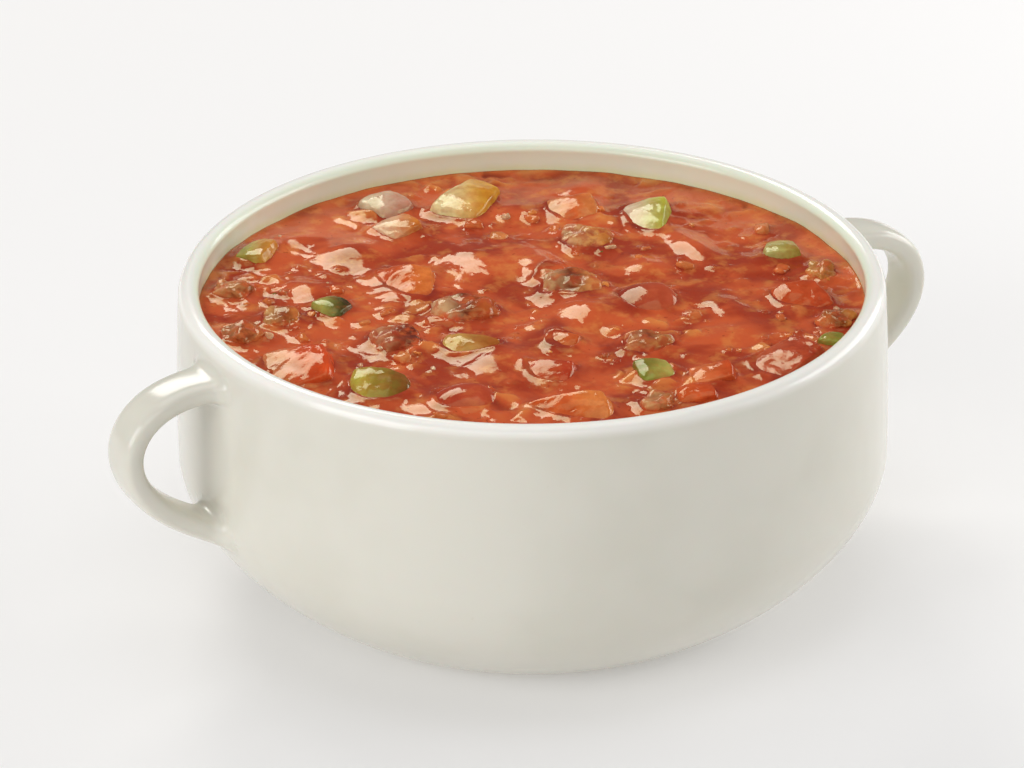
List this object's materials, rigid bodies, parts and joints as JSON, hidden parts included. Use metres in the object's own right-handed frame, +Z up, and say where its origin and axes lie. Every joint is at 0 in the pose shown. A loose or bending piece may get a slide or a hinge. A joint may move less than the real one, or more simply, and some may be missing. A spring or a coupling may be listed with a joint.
{
  "type": "bowl of chili",
  "caption": "White glazed soup bowl with two loop handles, filled with chunky tomato chili of meat, beans, tomato and pepper.",
  "frame": {"origin": "on the floor, at the middle of the foot", "axes": "+Z up through the bowl, +X through one handle and -X through the other, -Y towards the side that the picture shows"},
  "size_m": [0.1636, 0.128, 0.0585],
  "materials": {
    "white_glaze": "gloss",
    "broth": "gloss",
    "tomato": "gloss",
    "bean": "gloss",
    "meat": "satin",
    "green_pepper": "gloss",
    "yellow_pepper": "gloss",
    "celery": "gloss",
    "onion": "gloss"
  },
  "bodies": {
    "root": {"bowl": "white_glaze", "broth": "broth", "pepper_front": "green_pepper", "pepper_dark": "green_pepper", "pepper_left_rim": "yellow_pepper", "pepper_yellow": "yellow_pepper", "pepper_olive": "green_pepper", "pepper_front_right": "green_pepper", "pepper_far_right": "green_pepper", "pepper_right_rim": "green_pepper", "celery_back": "celery", "onion_back_left": "onion", "tomato_front": "tomato", "tomato_front_mid": "tomato", "tomato_left": "tomato", "tomato_centre_left": "tomato", "tomato_front_right": "tomato", "tomato_flat": "tomato", "tomato_right": "tomato", "tomato_back": "tomato", "tomato_back_left": "tomato", "tomato_rim": "tomato", "tomato_small": "tomato", "bean_centre": "bean", "bean_front": "bean", "meat_left_outer": "meat", "meat_left_inner": "meat", "meat_left_rim": "meat", "meat_mid_left": "meat", "meat_dark": "meat", "meat_centre": "meat", "meat_back": "meat", "meat_front_right": "meat", "meat_right": "meat", "meat_right_rim": "meat", "meat_rim_front": "meat"}
  },
  "joints": []
}
